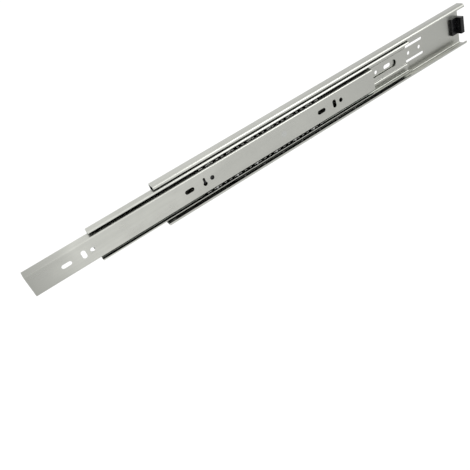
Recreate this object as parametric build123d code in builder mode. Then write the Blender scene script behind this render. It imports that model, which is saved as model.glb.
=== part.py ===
from build123d import *
import os
from math import acos, cos, degrees, radians, sin, sqrt, tan

# A 45 mm ball-bearing drawer slide in three telescoping sections, standing part-way open.
#
# Frame: the cabinet member lies flat against y = 0 and its front end is at x = 0. The slide opens
# toward +X, the drawer is on the +Y side, and +Z is up. The screw line of all members is z = 0.
# Sections are drawn in the YZ plane as the middle line of a bent sheet, from the screw line to the
# free edge above it, and mirrored for the lower half.

os.makedirs("parts", exist_ok=True)

# --- overall sizes, in millimetres -------------------------------------------------------------
cabinet_length = 400.0  # cabinet member, which is also the slide's nominal length
slide_height = 45.5  # across the lips of the cabinet member
slide_thickness = 12.7  # cabinet face to drawer face
sheet = 1.2  # rolled steel sheet of all three members
intermediate_lead = 69.0  # how far the intermediate member stands out of the cabinet member
drawer_lead = 133.0  # how far the drawer member stands out of the cabinet member

# --- balls and races ---------------------------------------------------------------------------
outer_ball_diameter = 4.0
inner_ball_diameter = 3.5
race_gap = 0.1  # play between a ball and its race
pocket_gap = 0.05  # play between a ball and its pocket in the retainer
ball_pitch = 24.0
outer_balls_per_row = 7
inner_balls_per_row = 6
retainer_sheet = 0.45
retainer_web_gap = 0.3  # retainer web to the member behind it
retainer_flange_gap = 0.2  # retainer leg to the drawer member's flange
outer_retainer_front = -77.0  # at rest, on the slide's x axis
inner_retainer_front = -46.0

# --- bends -------------------------------------------------------------------------------------
lip_setback = 1.0  # cabinet member's lip below the drawer face
lip_depth = 0.2  # straight end of that lip
inner_lip_wrap = 80.0  # degrees that the intermediate member's lip curls over the inner balls
cabinet_corner = 2.0  # middle-line radius between web and flange
joggle_radius = 1.0  # bends of the raised band of the intermediate member
joggle_step = 1.3
band_half_height = 8.2
race_dip = 0.55  # how far the intermediate's ball race sinks below its crown
crown_radius = 1.2
crown_flat = 0.45
drawer_corner = 1.3
drawer_slope = 20.0  # degrees that the drawer member's flange leans in towards its face
drawer_crest_radius = 1.0  # bend between that flange and the race
drawer_race_rise = 0.75
drawer_crown_radius = 1.0
retainer_corner = 0.8
inner_retainer_upper = 1.4  # incline above the ball centre
inner_retainer_leg = 1.18
outer_retainer_lower = 1.73  # incline below the ball centre
relief_length = 3.6  # windows between the ball pockets
relief_width = 2.2
reliefs_per_ball = 3
rib_width = 6.0

# --- screw holes, on the 32 mm system ----------------------------------------------------------
module = 32.0
middle_step = 4  # modules from the first to the middle group of holes in the drawer member
first_hole = 35.0  # behind the front of a member
bayonet_pair = 16.0
bayonet_hole_diameter = 4.2
slot_length = 10.0
slot_width = 4.4
round_hole_diameter = 4.5
bayonet_ahead = 9.0  # bayonet window in front of its first hole
bayonet_behind = 5.5  # and behind its second
bayonet_height = 19.0
bayonet_slot = 3.0
bayonet_corner = 3.0
end_hole = 8.5  # round hole close to the cabinet member's front
upright_slot_height = 8.6
upright_slot_offset = 17.0  # behind the long slot of the same group
keyhole_width = 2.4  # narrow upper part of the middle group's upright slot
round_hole_offset = 25.5

# --- stops, rivet and screwdriver slots --------------------------------------------------------
tab_start = 6.0  # lanced stop tabs behind the cabinet member's front
tab_length = 5.0
tab_width = 3.0
tab_rise = 2.0  # above the web
tab_line = 16.5  # height of the tabs above the screw line
access_width = 8.0
front_access = (25.0, 62.0)  # behind the intermediate member's front
rear_access_margin = 14.0  # slot end to the intermediate member's rear
rear_access_length = 46.0
bumper_length = 13.0  # bumper's front to the cabinet member's rear
bumper_inset = 0.3  # bumper's back short of that rear
bumper_height = 18.4
bumper_step = 4.2
bumper_top = 10.4
bumper_rounding = 0.8
bumper_gap = 0.5  # intermediate member to bumper when the slide is shut
notch_depth = 5.0
notch_height = 10.0
stop_tongue_height = 8.0
stop_tongue_reach = 4.5
closed_front_recess = 1.5  # intermediate member behind the cabinet member's front, when shut
drawer_rear_gap = 6.0  # drawer member shorter than the cabinet member
part_gap = 0.1  # moulded pieces to the steel that holds them
overcut = 1.0  # how far a cutting tool passes beyond an open edge

# --- latch, disconnect lever and rivet ---------------------------------------------------------
latch_window = (9.0, 15.0)  # behind the intermediate member's front
latch_nose = 4.0  # rounded bump of the latch toward the front
latch_nose_height = 8.0
latch_edge = 3.0  # steel left between the window and the corner bend
latch_floor_top = 5.9
latch_wall_top = 8.0
latch_post_top = 9.0
latch_post_width = 4.0
latch_post_length = 2.5
latch_bow = 1.9  # bow of the latch in front of the intermediate member
latch_bow_base = 1.0  # ends of the bow behind that front
latch_slit = 1.0
latch_slit_spread = 0.72  # half its length, as a share of the latch's half height
latch_slit_sag = 1.6
latch_skin = 1.4
latch_wall = 1.5
latch_side_gap = 0.45
rivet_station = 275.0  # behind the drawer member's front
rivet_head_diameter = 6.0
rivet_shank_diameter = 3.0
rivet_foot_diameter = 5.0
rivet_foot = 0.6
rivet_head_angle = 120.0
rivet_gap = 0.02
pivot_gap = 0.05
lever_thickness = 2.0
lever_under_web = 0.2
lever_tip_station = 181.0
lever_finger_width = 4.8
lever_neck_width = 4.2
lever_hub_diameter = 9.0
lever_spring_width = 1.0
lever_spring_reach = 26.0
lever_spring_spread = 6.6
lever_finger_length = 4.2
hook_station = 217.4
hook_length = 3.0
hook_width = 4.0
hook_bottom = 6.2

# --- worked out from the sizes above -----------------------------------------------------------
half_height = slide_height / 2
half_sheet = sheet / 2
outer_race = outer_ball_diameter / 2 + race_gap + half_sheet
inner_race = inner_ball_diameter / 2 + race_gap + half_sheet
ball_y = slide_thickness - lip_setback - half_sheet - outer_race
outer_ball_z = half_height - half_sheet - outer_race
inner_ball_z = outer_ball_z - outer_race - inner_race

intermediate_length = cabinet_length - bumper_length - bumper_gap - closed_front_recess
drawer_length = cabinet_length - drawer_rear_gap
intermediate_rear = intermediate_lead - intermediate_length
drawer_rear = drawer_lead - drawer_length
outer_retainer_length = ball_pitch * outer_balls_per_row
inner_retainer_length = ball_pitch * inner_balls_per_row

half_retainer = retainer_sheet / 2
outer_retainer_web_y = sheet + retainer_web_gap + half_retainer
outer_retainer_roof_z = half_height - sheet - retainer_web_gap - half_retainer
band_y = outer_retainer_web_y + half_retainer + retainer_web_gap + half_sheet
web_y = band_y + joggle_step
inner_retainer_web_y = web_y + half_sheet + retainer_web_gap + half_retainer

crown_turn = degrees(acos(1 - race_dip / (crown_radius + outer_race)))
crown_run = sqrt(race_dip * (2 * (crown_radius + outer_race) - race_dip))
crown_z = inner_ball_z + inner_race + race_dip
intermediate_corner = ball_y - crown_run - crown_flat - web_y
window_half_height = crown_z - intermediate_corner - latch_edge

drawer_web_y = slide_thickness - half_sheet
drawer_roof_z = inner_ball_z - inner_race
drawer_turn = degrees(acos(1 - drawer_race_rise / (drawer_crown_radius + inner_race)))
drawer_edge_y = inner_retainer_web_y + half_retainer + retainer_web_gap
drawer_leg_z = drawer_roof_z + half_sheet + retainer_flange_gap + half_retainer
latch_half_height = drawer_roof_z - half_sheet - latch_side_gap
drawer_web_inside = slide_thickness - sheet
lever_top = drawer_web_inside - lever_under_web
lever_bottom = lever_top - lever_thickness
last_step = int((cabinet_length - first_hole - 2 * module) // module)


def level(height):
    """The plane at a height above the mounting face, with X along the slide and Y up."""
    return Plane.XZ.offset(-height)


def span(start, end, half_width):
    """A rectangle along the slide, centred on the screw line."""
    with Locations(((start + end) / 2, 0)):
        return Rectangle(abs(end - start), 2 * half_width)


def obround(start, end, width):
    """A round-ended slot along the slide, centred on the screw line."""
    with Locations(((start + end) / 2, 0)):
        return SlotOverall(abs(end - start), width)


def cabinet_half_section():
    """Web, corner, flange and the lip that curls over the outer balls."""
    web = Line((half_sheet, 0), (half_sheet, half_height - half_sheet - cabinet_corner))
    corner = JernArc(web @ 1, web % 1, cabinet_corner, -90)
    flange = Line(corner @ 1, (ball_y, half_height - half_sheet))
    race = JernArc(flange @ 1, flange % 1, outer_race, -90)
    Line(race @ 1, (race @ 1) - (0, lip_depth))


def intermediate_half_section():
    """Raised band, web, crown, outer race and the lip that curls over the inner balls."""
    joggle_turn = degrees(acos(1 - joggle_step / (2 * joggle_radius)))
    band = Line((band_y, 0), (band_y, band_half_height))
    bend_in = JernArc(band @ 1, band % 1, joggle_radius, -joggle_turn)
    bend_out = JernArc(bend_in @ 1, bend_in % 1, joggle_radius, joggle_turn)
    web = Line(bend_out @ 1, (web_y, crown_z - intermediate_corner))
    corner = JernArc(web @ 1, web % 1, intermediate_corner, -90)
    flat = Line(corner @ 1, (corner @ 1) + (crown_flat, 0))
    crown = JernArc(flat @ 1, flat % 1, crown_radius, -crown_turn)
    outer_groove = JernArc(crown @ 1, crown % 1, outer_race, crown_turn)
    JernArc(outer_groove @ 1, outer_groove % 1, inner_race, -inner_lip_wrap)


def drawer_half_section():
    """Drawer face, corner, leaning flange, inner race and free edge."""
    lean = radians(drawer_slope)
    crest_y = ball_y + drawer_crest_radius * sin(lean)
    crest_z = drawer_roof_z - drawer_crest_radius * (1 - cos(lean))
    corner_end_y = drawer_web_y - drawer_corner * (1 - sin(lean))
    corner_end_z = crest_z - (corner_end_y - crest_y) * tan(lean)
    web = Line((drawer_web_y, 0), (drawer_web_y, corner_end_z - drawer_corner * cos(lean)))
    corner = JernArc(web @ 1, web % 1, drawer_corner, 90 - drawer_slope)
    flange = Line(corner @ 1, (crest_y, crest_z))
    crest = JernArc(flange @ 1, flange % 1, drawer_crest_radius, drawer_slope)
    race = JernArc(crest @ 1, crest % 1, inner_race, -drawer_turn)
    crown = JernArc(race @ 1, race % 1, drawer_crown_radius, drawer_turn)
    Line(crown @ 1, (drawer_edge_y, drawer_roof_z + drawer_race_rise))


def retainer_half_section(web_height, ball_z, leg_z, roof_z, leg_length):
    """Web, corner, roof, the incline that carries the balls, and the front leg if there is one."""
    web = Line((web_height, 0), (web_height, roof_z - retainer_corner))
    corner = JernArc(web @ 1, web % 1, retainer_corner, -90)
    roof = Line(corner @ 1, (ball_y - (roof_z - ball_z), roof_z))
    incline = Line(roof @ 1, (ball_y + (ball_z - leg_z), leg_z))
    if leg_length > 0:
        Line(incline @ 1, (incline @ 1) + (leg_length, 0))


def ball_stations(front, count):
    """Positions along the slide of one row of balls."""
    return [front - ball_pitch * (index + 0.5) for index in range(count)]


def relief_stations(front, count):
    """Positions along the slide of the windows beside the balls of one row."""
    pitch = ball_pitch / (reliefs_per_ball + 1)
    slots = [front - pitch * slot for slot in range(1, count * (reliefs_per_ball + 1))]
    balls = ball_stations(front, count)
    return [slot for slot in slots if min(abs(slot - ball) for ball in balls) > pitch / 2]


# --- cabinet member ----------------------------------------------------------------------------
with BuildPart() as cabinet_member:
    with BuildSketch(Plane.YZ.offset(-cabinet_length)):
        with BuildLine():
            cabinet_half_section()
        trace(line_width=sheet)
        mirror(about=Plane.XZ)
    extrude(amount=cabinet_length)
    # Bayonet windows: a U-shaped slot round a tongue with two screw holes.
    with BuildSketch(level(2 * sheet)):
        for step in (0, 2, last_step - 2, last_step):
            first = -first_hole - module * step
            with BuildLine(mode=Mode.PRIVATE) as window:
                root = first - bayonet_pair - bayonet_behind + bayonet_slot / 2
                nose = first + bayonet_ahead - bayonet_slot / 2
                edge = (bayonet_height - bayonet_slot) / 2
                corners = ((root, edge), (nose, edge), (nose, -edge), (root, -edge))
                FilletPolyline(*corners, radius=bayonet_corner)
            SlotArc(window.wire(), bayonet_slot)
            with Locations((first, 0), (first - bayonet_pair, 0)):
                Circle(bayonet_hole_diameter / 2)
        # Long slots between the windows, and the round hole at the front.
        for step in (1, 3, last_step - 3, last_step - 1):
            middle = -first_hole - module * step
            obround(middle - slot_length / 2, middle + slot_length / 2, slot_width)
        with Locations((-end_hole, 0)):
            Circle(round_hole_diameter / 2)
        # Notch for the bumper at the rear.
        span(-cabinet_length - overcut, -cabinet_length + notch_depth, notch_height / 2)
        # Openings left by the two lanced stop tabs.
        with Locations((-tab_start - tab_length / 2, tab_line), (-tab_start - tab_length / 2, -tab_line)):
            Rectangle(tab_length, tab_width)
    extrude(amount=3 * sheet, mode=Mode.SUBTRACT)
    # The stop tabs themselves, bent up out of the web. They hold the ball retainer in.
    with BuildSketch(Plane.YZ.offset(-tab_start - tab_length)):
        with Locations((0, tab_line), (0, -tab_line)):
            with Locations(((sheet + tab_rise) / 2, 0)):
                Rectangle(sheet + tab_rise, tab_width)
    extrude(amount=sheet)
cabinet_member.part.label = "cabinet_member"
export_step(cabinet_member.part, "parts/cabinet_member.step")

# --- rear bumper -------------------------------------------------------------------------------
with BuildPart() as rear_bumper:
    bumper_rear = -cabinet_length + bumper_inset
    block_front = -cabinet_length + drawer_rear_gap - bumper_gap
    # Low step under the end of the drawer member, and the tall block that its tongue runs into.
    with BuildSketch(level(sheet)):
        span(bumper_rear, -cabinet_length + bumper_length, bumper_height / 2)
    extrude(amount=-(bumper_step - sheet))
    with BuildSketch(level(bumper_step)):
        span(bumper_rear, block_front, bumper_height / 2)
    extrude(amount=-(bumper_top - bumper_step))
    fillet(rear_bumper.edges().filter_by(Axis.Y), bumper_rounding)
    fillet(rear_bumper.faces().sort_by(Axis.Y)[-1].edges(), bumper_rounding)
    # Key that fills the notch in the web.
    with BuildSketch(level(part_gap)):
        span(bumper_rear, -cabinet_length + notch_depth - part_gap, notch_height / 2 - part_gap)
    extrude(amount=-(sheet - part_gap))
rear_bumper.part.label = "rear_bumper"
export_step(rear_bumper.part, "parts/rear_bumper.step")

# --- intermediate member -----------------------------------------------------------------------
with BuildPart() as intermediate_member:
    with BuildSketch(Plane.YZ.offset(intermediate_rear)):
        with BuildLine():
            intermediate_half_section()
        trace(line_width=sheet)
        mirror(about=Plane.XZ)
    extrude(amount=intermediate_length)
    with BuildSketch(level(web_y + sheet)):
        # Screwdriver slots to the screws of the cabinet member.
        obround(intermediate_lead - front_access[1], intermediate_lead - front_access[0], access_width)
        rear_end = intermediate_rear + rear_access_margin
        obround(rear_end, rear_end + rear_access_length, access_width)
        # Window for the latch, with room for its nose.
        span(intermediate_lead - latch_window[1], intermediate_lead - latch_window[0], window_half_height)
        obround(
            intermediate_lead - latch_window[1],
            intermediate_lead - latch_window[0] + latch_nose,
            latch_nose_height,
        )
    extrude(amount=web_y + sheet, mode=Mode.SUBTRACT)
intermediate_member.part.label = "intermediate_member"
export_step(intermediate_member.part, "parts/intermediate_member.step")

# --- front latch -------------------------------------------------------------------------------
with BuildPart() as front_latch:
    back_y = band_y - half_sheet + part_gap / 2
    seat_y = web_y + half_sheet + part_gap / 2
    window_front = intermediate_lead - latch_window[0]
    window_rear = intermediate_lead - latch_window[1]
    bow_root = intermediate_lead - latch_bow_base
    bow_tip = intermediate_lead + latch_bow
    # Plug that fills the window and shows on the back.
    with BuildSketch(level(back_y)):
        span(window_rear + part_gap, window_front - part_gap, window_half_height - part_gap)
        nose_front = window_front + latch_nose - part_gap
        obround(window_rear + part_gap, nose_front, latch_nose_height - 2 * part_gap)
    extrude(amount=-(seat_y - back_y))
    # Floor inside the channel, with a bow-shaped spring front.
    with BuildSketch(level(seat_y)):
        with BuildLine():
            Polyline(
                (bow_root, latch_half_height),
                (window_rear, latch_half_height),
                (window_rear, -latch_half_height),
                (bow_root, -latch_half_height),
            )
            ThreePointArc((bow_root, -latch_half_height), (bow_tip, 0), (bow_root, latch_half_height))
        make_face()
        with BuildLine(mode=Mode.PRIVATE) as slit:
            slit_end = latch_half_height * latch_slit_spread
            slit_middle = bow_tip - latch_skin - latch_slit / 2
            slit_back = slit_middle - latch_slit_sag
            ThreePointArc((slit_back, -slit_end), (slit_middle, 0), (slit_back, slit_end))
        SlotArc(slit.wire(), latch_slit, mode=Mode.SUBTRACT)
    extrude(amount=-(latch_floor_top - seat_y))
    # Side walls and the catch post for the lever's hook.
    with BuildSketch(level(latch_floor_top)):
        wall_line = latch_half_height - latch_wall / 2
        with Locations(((window_rear + bow_root) / 2, wall_line), ((window_rear + bow_root) / 2, -wall_line)):
            Rectangle(bow_root - window_rear, latch_wall)
    extrude(amount=-(latch_wall_top - latch_floor_top))
    with BuildSketch(level(latch_floor_top)):
        span(window_rear, window_rear + latch_post_length, latch_post_width / 2)
    extrude(amount=-(latch_post_top - latch_floor_top))
front_latch.part.label = "front_latch"
export_step(front_latch.part, "parts/front_latch.step")

# --- drawer member -----------------------------------------------------------------------------
rivet_x = drawer_lead - rivet_station
with BuildPart() as drawer_member:
    with BuildSketch(Plane.YZ.offset(drawer_rear)):
        with BuildLine():
            drawer_half_section()
        trace(line_width=sheet)
        mirror(about=Plane.XZ)
    extrude(amount=drawer_length)
    with BuildSketch(level(slide_thickness + overcut)):
        for step in (0, middle_step, last_step):
            middle = drawer_lead - first_hole - module * step
            obround(middle - slot_length / 2, middle + slot_length / 2, slot_width)
            # The upright slot of the middle group is a keyhole over the lever's end.
            is_keyhole = step == middle_step
            with Locations((middle - upright_slot_offset, 0)):
                SlotOverall(upright_slot_height, keyhole_width if is_keyhole else slot_width, rotation=90)
            if is_keyhole:
                with Locations((middle - upright_slot_offset, (slot_width - upright_slot_height) / 2)):
                    Circle(slot_width / 2)
            with Locations((middle - round_hole_offset, 0)):
                Circle(round_hole_diameter / 2)
    extrude(amount=overcut + 2 * sheet, mode=Mode.SUBTRACT)
    # Stop tongue, bent down out of the rear end: it meets the bumper when the slide is shut.
    with BuildSketch(Plane.YZ.offset(drawer_rear)):
        with Locations((slide_thickness - (stop_tongue_reach + sheet) / 2, 0)):
            Rectangle(stop_tongue_reach + sheet, stop_tongue_height)
    extrude(amount=sheet)
    # Countersunk hole for the lever's rivet.
    with Locations(Plane((rivet_x, slide_thickness, 0), z_dir=(0, 1, 0))):
        CounterSinkHole(
            radius=rivet_shank_diameter / 2 + rivet_gap,
            counter_sink_radius=rivet_head_diameter / 2 + rivet_gap,
            depth=2 * sheet,
            counter_sink_angle=rivet_head_angle,
        )
drawer_member.part.label = "drawer_member"
export_step(drawer_member.part, "parts/drawer_member.step")

# --- lever rivet, flush with the drawer face ---------------------------------------------------
with BuildPart() as lever_rivet:
    head_depth = (rivet_head_diameter - rivet_shank_diameter) / 2 / tan(radians(rivet_head_angle / 2))
    foot_y = lever_bottom - pivot_gap
    with BuildSketch(Plane.XY):
        with BuildLine():
            Polyline(
                (rivet_x, slide_thickness),
                (rivet_x + rivet_head_diameter / 2, slide_thickness),
                (rivet_x + rivet_shank_diameter / 2, slide_thickness - head_depth),
                (rivet_x + rivet_shank_diameter / 2, foot_y),
                (rivet_x + rivet_foot_diameter / 2, foot_y),
                (rivet_x + rivet_foot_diameter / 2, foot_y - rivet_foot),
                (rivet_x, foot_y - rivet_foot),
                close=True,
            )
        make_face()
    revolve(axis=Axis((rivet_x, 0, 0), (0, 1, 0)))
lever_rivet.part.label = "lever_rivet"
export_step(lever_rivet.part, "parts/lever_rivet.step")

# --- disconnect lever --------------------------------------------------------------------------
with BuildPart() as disconnect_lever:
    tip_x = drawer_lead - lever_tip_station
    hook_x = drawer_lead - hook_station
    with BuildSketch(level(lever_bottom)):
        with Locations((rivet_x, 0)):
            Circle(lever_hub_diameter / 2)
        span(rivet_x, tip_x - lever_finger_length, lever_neck_width / 2)
        with Locations((tip_x - lever_finger_length / 2, 0)):
            RectangleRounded(lever_finger_length + lever_neck_width, lever_finger_width, lever_neck_width / 3)
        # Two spring legs that brace the lever in the channel.
        for side in (1, -1):
            with BuildLine(mode=Mode.PRIVATE) as leg:
                leg_root = (rivet_x, side * (lever_hub_diameter - lever_spring_width) / 2)
                leg_end = (rivet_x + lever_spring_reach, side * lever_spring_spread)
                TangentArc(leg_end, leg_root, tangent=(-1, 0))
            SlotArc(leg.wire(), lever_spring_width)
        with Locations((rivet_x, 0)):
            Circle(rivet_shank_diameter / 2 + pivot_gap, mode=Mode.SUBTRACT)
    extrude(amount=-lever_thickness)
    # Hook that catches the latch's post at full extension.
    with BuildSketch(level(hook_bottom)):
        span(hook_x - hook_length, hook_x, hook_width / 2)
    extrude(amount=-(lever_bottom - hook_bottom))
disconnect_lever.part.label = "disconnect_lever"
export_step(disconnect_lever.part, "parts/disconnect_lever.step")


# --- ball retainers ----------------------------------------------------------------------------
def cut_pockets(front, count, diameter, ball_z):
    """Pockets and relief windows of both rows, square to the inclines that carry the balls."""
    for side in (1, -1):
        incline = Plane((0, ball_y, side * ball_z), x_dir=(1, 0, 0), z_dir=(0, 1, side))
        with BuildSketch(incline) as pockets:
            for station in ball_stations(front, count):
                with Locations((station, 0)):
                    Circle(diameter / 2 + pocket_gap)
            for station in relief_stations(front, count):
                with Locations((station, 0)):
                    Rectangle(relief_length, relief_width)
        extrude(pockets.sketch, amount=2 * retainer_sheet, both=True, mode=Mode.SUBTRACT)


def cut_leg(front, count, ball_z, leg_z, leg_length):
    """Splits the front leg into short fingers, and opens the relief windows down to it."""
    leg_root = ball_y + ball_z - leg_z + retainer_sheet
    leg_tip = leg_root + leg_length
    window_foot = leg_z - retainer_sheet
    with BuildSketch(Plane.YZ.offset(front)) as notches:
        for side in (1, -1):
            with Locations(((leg_root + leg_tip) / 2, side * leg_z)):
                Rectangle(leg_length, 2 * retainer_sheet)
    with BuildSketch(Plane.YZ.offset(front)) as windows:
        for side in (1, -1):
            with Locations(((ball_y + leg_tip) / 2, side * (window_foot + ball_z) / 2)):
                Rectangle(leg_tip - ball_y, ball_z - window_foot)
    for opening, places in (
        (notches, ball_stations(front, count)),
        (windows, relief_stations(front, count)),
    ):
        for place in places:
            moved = opening.sketch.moved(Location((place + relief_length / 2 - front, 0, 0)))
            extrude(moved, amount=-relief_length, mode=Mode.SUBTRACT)


def cut_web(front, count, web_height, half_width):
    """Large openings between the ribs of a retainer's web."""
    with BuildSketch(level(web_height + retainer_sheet)) as openings:
        with Locations(*[(station, 0) for station in ball_stations(front, count)]):
            RectangleRounded(ball_pitch - rib_width, 2 * half_width, rib_width / 2)
    extrude(openings.sketch, amount=2 * retainer_sheet, mode=Mode.SUBTRACT)


with BuildPart() as outer_ball_retainer:
    with BuildSketch(Plane.YZ.offset(outer_retainer_front - outer_retainer_length)):
        with BuildLine():
            retainer_half_section(
                outer_retainer_web_y,
                outer_ball_z,
                outer_ball_z - outer_retainer_lower,
                outer_retainer_roof_z,
                0,
            )
        trace(line_width=retainer_sheet)
        mirror(about=Plane.XZ)
    extrude(amount=outer_retainer_length)
    cut_pockets(outer_retainer_front, outer_balls_per_row, outer_ball_diameter, outer_ball_z)
    cut_web(outer_retainer_front, outer_balls_per_row, outer_retainer_web_y, inner_ball_z - rib_width)
outer_ball_retainer.part.label = "outer_ball_retainer"
export_step(outer_ball_retainer.part, "parts/outer_ball_retainer.step")

with BuildPart() as inner_ball_retainer:
    with BuildSketch(Plane.YZ.offset(inner_retainer_front - inner_retainer_length)):
        with BuildLine():
            retainer_half_section(
                inner_retainer_web_y,
                inner_ball_z,
                drawer_leg_z,
                inner_ball_z + inner_retainer_upper,
                inner_retainer_leg,
            )
        trace(line_width=retainer_sheet)
        mirror(about=Plane.XZ)
    extrude(amount=inner_retainer_length)
    cut_pockets(inner_retainer_front, inner_balls_per_row, inner_ball_diameter, inner_ball_z)
    cut_leg(inner_retainer_front, inner_balls_per_row, inner_ball_z, drawer_leg_z, inner_retainer_leg)
    cut_web(inner_retainer_front, inner_balls_per_row, inner_retainer_web_y, inner_ball_z - rib_width)
inner_ball_retainer.part.label = "inner_ball_retainer"
export_step(inner_ball_retainer.part, "parts/inner_ball_retainer.step")


# --- balls -------------------------------------------------------------------------------------
def export_balls(row, diameter, ball_z, front, count):
    """One named sphere for each ball of an upper and a lower row."""
    for place, side in (("upper", 1), ("lower", -1)):
        for number, station in enumerate(ball_stations(front, count), start=1):
            with BuildPart() as ball:
                with Locations((station, ball_y, side * ball_z)):
                    Sphere(diameter / 2)
            ball.part.label = f"{row}_{place}_ball_{number}"
            export_step(ball.part, f"parts/{ball.part.label}.step")


export_balls("outer", outer_ball_diameter, outer_ball_z, outer_retainer_front, outer_balls_per_row)
export_balls("inner", inner_ball_diameter, inner_ball_z, inner_retainer_front, inner_balls_per_row)
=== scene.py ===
import bpy
from math import radians
from mathutils import Matrix, Vector


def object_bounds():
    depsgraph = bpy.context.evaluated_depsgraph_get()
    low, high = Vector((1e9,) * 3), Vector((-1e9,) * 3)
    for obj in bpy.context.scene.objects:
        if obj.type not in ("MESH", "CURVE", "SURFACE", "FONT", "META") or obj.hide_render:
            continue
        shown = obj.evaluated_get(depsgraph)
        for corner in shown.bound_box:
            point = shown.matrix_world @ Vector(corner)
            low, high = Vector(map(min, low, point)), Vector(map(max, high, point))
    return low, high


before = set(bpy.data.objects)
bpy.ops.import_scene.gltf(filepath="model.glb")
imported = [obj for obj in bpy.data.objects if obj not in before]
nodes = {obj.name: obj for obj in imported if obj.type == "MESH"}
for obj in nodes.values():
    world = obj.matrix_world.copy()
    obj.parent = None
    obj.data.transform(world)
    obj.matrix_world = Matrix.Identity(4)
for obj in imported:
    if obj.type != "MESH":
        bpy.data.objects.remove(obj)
cad_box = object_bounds()
MM = 0.001
EVEN = (1.0, 1.0, 1.0)  # a texture that isn't stretched along any axis

# Everything is in metres, in the part's own frame: +X is the opening direction, +Y points from the
# cabinet to the drawer, and +Z is up.

# --- looks -------------------------------------------------------------------------------------
BLACK_GAP_SHADE = (0.010, 0.011, 0.010)  # painted black shade deep inside narrow gaps
SHADED_ZINC = (0.27, 0.30, 0.265)  # painted green-grey shade on the plating a little way into a gap
GAP_REACH = 6 * MM  # walls closer than this make a gap
SHADED_SPAN = (0.36, 0.62)  # occlusion over which bright plating turns to the painted shade
BLACK_SHADE_SPAN = (0.56, 0.74)  # occlusion over which the painted shade turns to painted black shade
REAR_SHADE_SPAN = (0.05, -0.40)  # along x, from bright to the painted shade at the cabinet member's rear end
# share of the colour left at the rear end under the painted shade
REAR_SHADE_SHARE = 0.68
FRONT_SHADE_SPAN = (0.085, 0.133)  # along x, from bright to the painted shade at the drawer member's front end
FRONT_SHADE_SHARE = 0.62
CLOUD_DULLING = 0.86
LINE_DULLING = 0.9
ZINC_BUMP = 0.02 * MM
PLASTIC_BUMP = 0.03 * MM
RUBBED_PALER = 0.006  # how much paler the plastic is where it is rubbed
PLASTIC_SPECULAR = 0.22
ROOM_STRENGTH = 1.15  # of the white room
KEY_STRENGTH = 0.9
KEY_SPREAD = 34.0  # degrees across the softbox
KEY_DIRECTION = (0.52, -0.66, -0.52)
FLOOR_DROP = 0.35
FLOOR_SIZE = 200.0


def scaled_colour(colour, share):
    return tuple(share * channel for channel in colour)


# --- node helpers ------------------------------------------------------------------------------
class Graph:
    """A short way to build one material's node tree."""

    def __init__(self, name):
        self.material = bpy.data.materials.new(name)
        self.material.use_nodes = True
        self.tree = self.material.node_tree
        self.shader = self.tree.nodes["Principled BSDF"]

    def node(self, kind, **settings):
        made = self.tree.nodes.new(kind)
        for key, value in settings.items():
            setattr(made, key, value)
        return made

    def link(self, source, target):
        self.tree.links.new(source, target)

    def feed(self, source, socket):
        """Feeds one socket of the shader from a node."""
        self.link(source, self.shader.inputs[socket])

    def constant(self, socket, value):
        """A number that is the same all over, on the shader's own socket."""
        self.shader.inputs[socket].default_value = value

    def coordinates(self, scale):
        """Object coordinates, which are the part's own frame, stretched along each axis."""
        place = self.node("ShaderNodeTexCoord")
        mapping = self.node("ShaderNodeMapping")
        mapping.inputs["Scale"].default_value = scale
        self.link(place.outputs["Object"], mapping.inputs["Vector"])
        return mapping.outputs["Vector"]

    def noise(self, scale, size, detail=3.0, roughness=0.5):
        texture = self.node("ShaderNodeTexNoise")
        texture.inputs["Scale"].default_value = size
        texture.inputs["Detail"].default_value = detail
        texture.inputs["Roughness"].default_value = roughness
        self.link(self.coordinates(scale), texture.inputs["Vector"])
        return texture.outputs["Fac"]

    def spread(self, value, source, target=(0.0, 1.0)):
        """Maps one range of a value onto another."""
        remap = self.node("ShaderNodeMapRange")
        limits = ("From Min", "From Max", "To Min", "To Max")
        for limit, number in zip(limits, (*source, *target)):
            remap.inputs[limit].default_value = number
        self.link(value, remap.inputs["Value"])
        return remap.outputs["Result"]

    def mix(self, factor, first, second):
        """A colour between two colours, which are tuples or sockets."""
        blend = self.node("ShaderNodeMix", data_type="RGBA")
        self.link(factor, blend.inputs["Factor"])
        for socket, colour in ((blend.inputs[6], first), (blend.inputs[7], second)):
            if isinstance(colour, tuple):
                socket.default_value = (*colour, 1.0)
            else:
                self.link(colour, socket)
        return blend.outputs[2]

    def add(self, first, second):
        total = self.node("ShaderNodeMath", operation="ADD")
        self.link(first, total.inputs[0])
        self.link(second, total.inputs[1])
        return total.outputs[0]

    def along_x(self, span):
        """0 to 1 along the slide."""
        place = self.node("ShaderNodeSeparateXYZ")
        self.link(self.coordinates(EVEN), place.inputs[0])
        return self.spread(place.outputs["X"], span)

    def occlusion_mask(self, reach):
        """0 in the open, towards 1 deep inside a narrow gap: ambient occlusion that places the
        painted shade.
        """
        hollow = self.node("ShaderNodeAmbientOcclusion", samples=8, only_local=False)
        hollow.inputs["Distance"].default_value = reach
        return self.spread(hollow.outputs["AO"], (0.0, 1.0), (1.0, 0.0))

    def bump(self, height, strength, distance):
        relief = self.node("ShaderNodeBump")
        relief.inputs["Strength"].default_value = strength
        relief.inputs["Distance"].default_value = distance
        self.link(height, relief.inputs["Height"])
        self.feed(relief.outputs["Normal"], "Normal")


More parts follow.
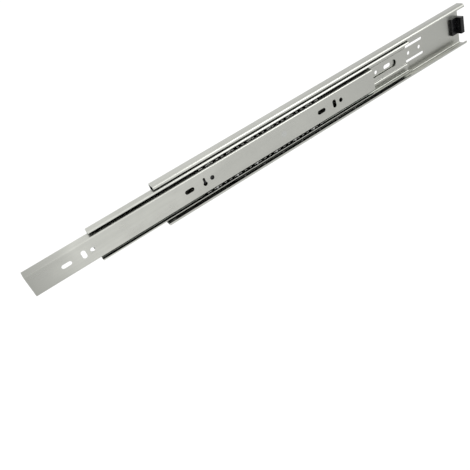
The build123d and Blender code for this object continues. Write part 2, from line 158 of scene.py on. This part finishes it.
# --- materials ---------------------------------------------------------------------------------
def zinc_steel(name, light, dark, rough):
    """Rolled steel strip with bright zinc plating: mottling, clouds, rolling lines, fine grain."""
    g = Graph(name)
    mottle = g.noise((1.0, 2.0, 2.0), 38.0, detail=4.0)
    cloud = g.noise((1.0, 3.0, 3.0), 9.0, detail=2.0)
    rolling = g.noise((6.0, 900.0, 900.0), 1.0, detail=5.0, roughness=0.65)
    grain = g.noise(EVEN, 2600.0, detail=2.0)
    tone = g.mix(g.spread(mottle, (0.35, 0.65)), dark, light)
    clouds = g.spread(cloud, (0.40, 0.62), (0.0, 0.55))
    clouded = g.mix(clouds, tone, scaled_colour(dark, CLOUD_DULLING))
    lines = g.spread(rolling, (0.42, 0.60), (0.0, 0.25))
    lined = g.mix(lines, clouded, scaled_colour(dark, LINE_DULLING))
    # Painted shade: the plating is darkened towards both ends, where it reflects a darker room.
    rear = g.mix(g.along_x(REAR_SHADE_SPAN), lined, scaled_colour(dark, REAR_SHADE_SHARE))
    ends = g.mix(g.along_x(FRONT_SHADE_SPAN), rear, scaled_colour(light, FRONT_SHADE_SHARE))
    # Painted shade: the plating turns green-grey and then black where the occlusion finds a narrow
    # gap.
    deep = g.occlusion_mask(GAP_REACH)
    shaded = g.mix(g.spread(deep, SHADED_SPAN), ends, SHADED_ZINC)
    g.feed(g.mix(g.spread(deep, BLACK_SHADE_SPAN), shaded, BLACK_GAP_SHADE), "Base Color")
    g.constant("Metallic", 1.0)
    lined_rough = g.spread(rolling, (0.3, 0.7), (rough - 0.03, rough + 0.04))
    mottled_rough = g.spread(mottle, (0.3, 0.7), (-0.03, 0.04))
    g.feed(g.add(lined_rough, mottled_rough), "Roughness")
    line_height = g.spread(rolling, (0.2, 0.8), (0.0, 0.7))
    grain_height = g.spread(grain, (0.3, 0.7), (0.0, 0.3))
    g.bump(g.add(line_height, grain_height), 0.15, ZINC_BUMP)
    return g.material


def moulded_black(name, colour, rough, texture_depth):
    """Injection-moulded black plastic with a fine spark-eroded skin and paler rubbed places."""
    g = Graph(name)
    skin = g.noise(EVEN, 3200.0, detail=3.0)
    rub = g.noise(EVEN, 220.0, detail=4.0)
    paler = tuple(channel + RUBBED_PALER for channel in colour)
    g.feed(g.mix(g.spread(rub, (0.5, 0.72)), colour, paler), "Base Color")
    g.feed(g.spread(rub, (0.3, 0.7), (rough - 0.05, rough + 0.08)), "Roughness")
    g.constant("Specular IOR Level", PLASTIC_SPECULAR)
    g.bump(skin, texture_depth, PLASTIC_BUMP)
    return g.material


def polished_ball(name, clean, filmed):
    """Lapped bearing steel under a patchy film of grease."""
    g = Graph(name)
    film = g.noise(EVEN, 700.0, detail=3.0)
    g.feed(g.mix(film, clean, filmed), "Base Color")
    g.constant("Metallic", 1.0)
    g.feed(g.spread(film, (0.3, 0.7), (0.12, 0.28)), "Roughness")
    return g.material


def dress(node, material):
    """Puts one material on a CAD node."""
    slots = nodes[node].data.materials
    if not slots:
        slots.append(material)
    for index in range(len(slots)):
        slots[index] = material


member_steel = zinc_steel("zinc_plated_steel", (0.55, 0.555, 0.515), (0.49, 0.495, 0.46), 0.30)
retainer_steel = zinc_steel("retainer_steel", (0.50, 0.50, 0.47), (0.40, 0.40, 0.38), 0.36)
# Painted shade: a near-black copy of the retainer steel for the outer row, which sits in the
# shaded lower gap.
gap_shaded_retainer = zinc_steel(
    "gap_shaded_retainer_steel", (0.045, 0.045, 0.042), (0.030, 0.030, 0.028), 0.42
)
rivet_steel = zinc_steel("rivet_steel", (0.56, 0.57, 0.55), (0.50, 0.51, 0.49), 0.28)
ball_steel = polished_ball("ball_steel", (0.42, 0.42, 0.42), (0.30, 0.30, 0.30))
# Painted shade: a near-black copy of the ball steel for the outer balls in the shaded lower gap.
gap_shaded_ball_steel = polished_ball("gap_shaded_ball_steel", (0.05, 0.05, 0.048), (0.03, 0.03, 0.03))
lever_plastic = moulded_black("black_plastic", (0.012, 0.012, 0.013), 0.42, 0.25)
bumper_plastic = moulded_black("bumper_plastic", (0.003, 0.003, 0.0035), 0.22, 0.08)

for member in ("cabinet_member", "intermediate_member", "drawer_member"):
    dress(member, member_steel)
dress("inner_ball_retainer", retainer_steel)
# The outer retainer and its balls get the painted-shade copies.
dress("outer_ball_retainer", gap_shaded_retainer)
for name in nodes:
    if "_ball_" in name and "retainer" not in name:
        dress(name, gap_shaded_ball_steel if name.startswith("outer") else ball_steel)
dress("lever_rivet", rivet_steel)
dress("front_latch", lever_plastic)
dress("disconnect_lever", lever_plastic)
dress("rear_bumper", bumper_plastic)

# --- floor, light and camera -------------------------------------------------------------------
low, high = (Vector(corner) for corner in cad_box)
centre = (low + high) / 2


def pale_floor(drop, size):
    """A large pale floor under the slide, which a cabinet would hold up above it."""
    bpy.ops.mesh.primitive_plane_add(size=size, location=(centre.x, centre.y, low.z - drop))
    floor = bpy.context.object
    floor.name = "floor"
    g = Graph("floor")
    shade = g.noise(EVEN, 3.0, detail=2.0)
    g.feed(g.mix(shade, (0.82, 0.82, 0.82), (0.84, 0.84, 0.84)), "Base Color")
    g.constant("Roughness", 0.9)
    floor.data.materials.append(g.material)


def soft_light(name, direction, spread, strength):
    """A large far-away softbox: parallel light with a wide disc, shining along a direction."""
    lamp = bpy.data.lights.new(name, "SUN")
    lamp.angle = radians(spread)
    lamp.energy = strength
    holder = bpy.data.objects.new(name, lamp)
    holder.location = centre - Vector(direction)
    holder.rotation_euler = Vector(direction).to_track_quat("-Z", "Y").to_euler()
    bpy.context.scene.collection.objects.link(holder)


def aim_camera(place, target, roll, lens):
    """A camera that looks at a point and is then rolled about its line of sight, in degrees."""
    camera = bpy.data.objects.new("camera", bpy.data.cameras.new("camera"))
    camera.data.lens = lens
    camera.data.sensor_width = 36.0
    camera.data.clip_start = 0.01
    camera.location = place
    turn = (Vector(target) - Vector(place)).to_track_quat("-Z", "Y")
    rolled = turn.to_matrix() @ Matrix.Rotation(radians(roll), 3, "Z")
    camera.rotation_euler = rolled.to_euler()
    bpy.context.scene.collection.objects.link(camera)
    bpy.context.scene.camera = camera


def studio():
    """A white room over a pale floor, with one soft light from above on the drawer side."""
    world = bpy.data.worlds.new("studio")
    world.use_nodes = True
    background = world.node_tree.nodes["Background"]
    background.inputs["Color"].default_value = (1.0, 1.0, 1.0, 1.0)
    background.inputs["Strength"].default_value = ROOM_STRENGTH
    bpy.context.scene.world = world
    bpy.context.scene.view_settings.view_transform = "Standard"
    pale_floor(FLOOR_DROP, FLOOR_SIZE)
    soft_light("key", KEY_DIRECTION, KEY_SPREAD, KEY_STRENGTH)


studio()
# The pose of the photo's camera, fitted to the upper slide.
aim_camera((0.0918, 0.4442, 0.2335), (-0.0569, 0.006, -0.0745), roll=-22.3, lens=41.4)
